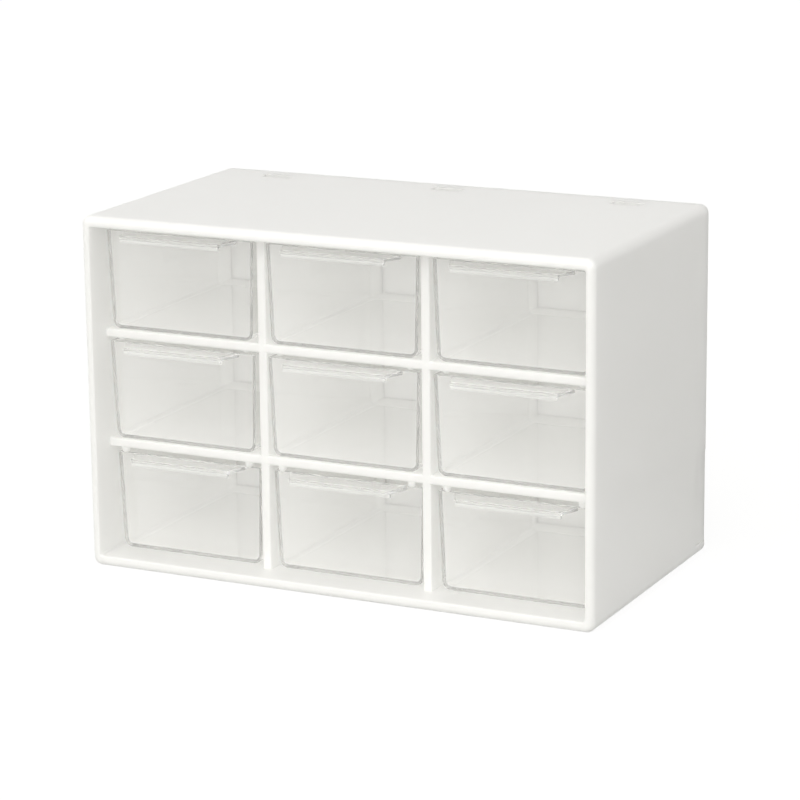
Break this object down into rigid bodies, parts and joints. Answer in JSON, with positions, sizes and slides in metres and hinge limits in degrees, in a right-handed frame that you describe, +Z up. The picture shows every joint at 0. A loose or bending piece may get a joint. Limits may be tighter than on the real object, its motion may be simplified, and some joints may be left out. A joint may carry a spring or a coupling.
{
  "type": "craft storage box",
  "caption": "Desktop storage box with a white moulded housing, a grid of clear sliding drawers with handle lips, and a snap-in back panel.",
  "frame": {"origin": "middle of the underside of the housing", "axes": "+X to the right seen from the front, +Y from the drawers' fronts to the back panel, +Z up"},
  "size_m": [0.18, 0.097, 0.118],
  "materials": {
    "white_plastic": "satin",
    "clear_plastic": "clear, polished"
  },
  "bodies": {
    "housing": {"housing": "white_plastic", "back_panel": "white_plastic"},
    "drawer_bottom_left": {"drawer_bottom_left": "clear_plastic"},
    "drawer_bottom_centre": {"drawer_bottom_centre": "clear_plastic"},
    "drawer_bottom_right": {"drawer_bottom_right": "clear_plastic"},
    "drawer_middle_left": {"drawer_middle_left": "clear_plastic"},
    "drawer_middle_centre": {"drawer_middle_centre": "clear_plastic"},
    "drawer_middle_right": {"drawer_middle_right": "clear_plastic"},
    "drawer_top_left": {"drawer_top_left": "clear_plastic"},
    "drawer_top_centre": {"drawer_top_centre": "clear_plastic"},
    "drawer_top_right": {"drawer_top_right": "clear_plastic"}
  },
  "joints": [
    {"name": "slide_bottom_left", "type": "slide", "parent": "housing", "child": "drawer_bottom_left", "axis": [0, -1, 0], "range_m": [0, 0.0697]},
    {"name": "slide_bottom_centre", "type": "slide", "parent": "housing", "child": "drawer_bottom_centre", "axis": [0, -1, 0], "range_m": [0, 0.0697]},
    {"name": "slide_bottom_right", "type": "slide", "parent": "housing", "child": "drawer_bottom_right", "axis": [0, -1, 0], "range_m": [0, 0.0697]},
    {"name": "slide_middle_left", "type": "slide", "parent": "housing", "child": "drawer_middle_left", "axis": [0, -1, 0], "range_m": [-0.0027, 0.067]},
    {"name": "slide_middle_centre", "type": "slide", "parent": "housing", "child": "drawer_middle_centre", "axis": [0, -1, 0], "range_m": [-0.0027, 0.067]},
    {"name": "slide_middle_right", "type": "slide", "parent": "housing", "child": "drawer_middle_right", "axis": [0, -1, 0], "range_m": [-0.0027, 0.067]},
    {"name": "slide_top_left", "type": "slide", "parent": "housing", "child": "drawer_top_left", "axis": [0, -1, 0], "range_m": [-0.0027, 0.067]},
    {"name": "slide_top_centre", "type": "slide", "parent": "housing", "child": "drawer_top_centre", "axis": [0, -1, 0], "range_m": [-0.0027, 0.067]},
    {"name": "slide_top_right", "type": "slide", "parent": "housing", "child": "drawer_top_right", "axis": [0, -1, 0], "range_m": [-0.0027, 0.067]}
  ]
}
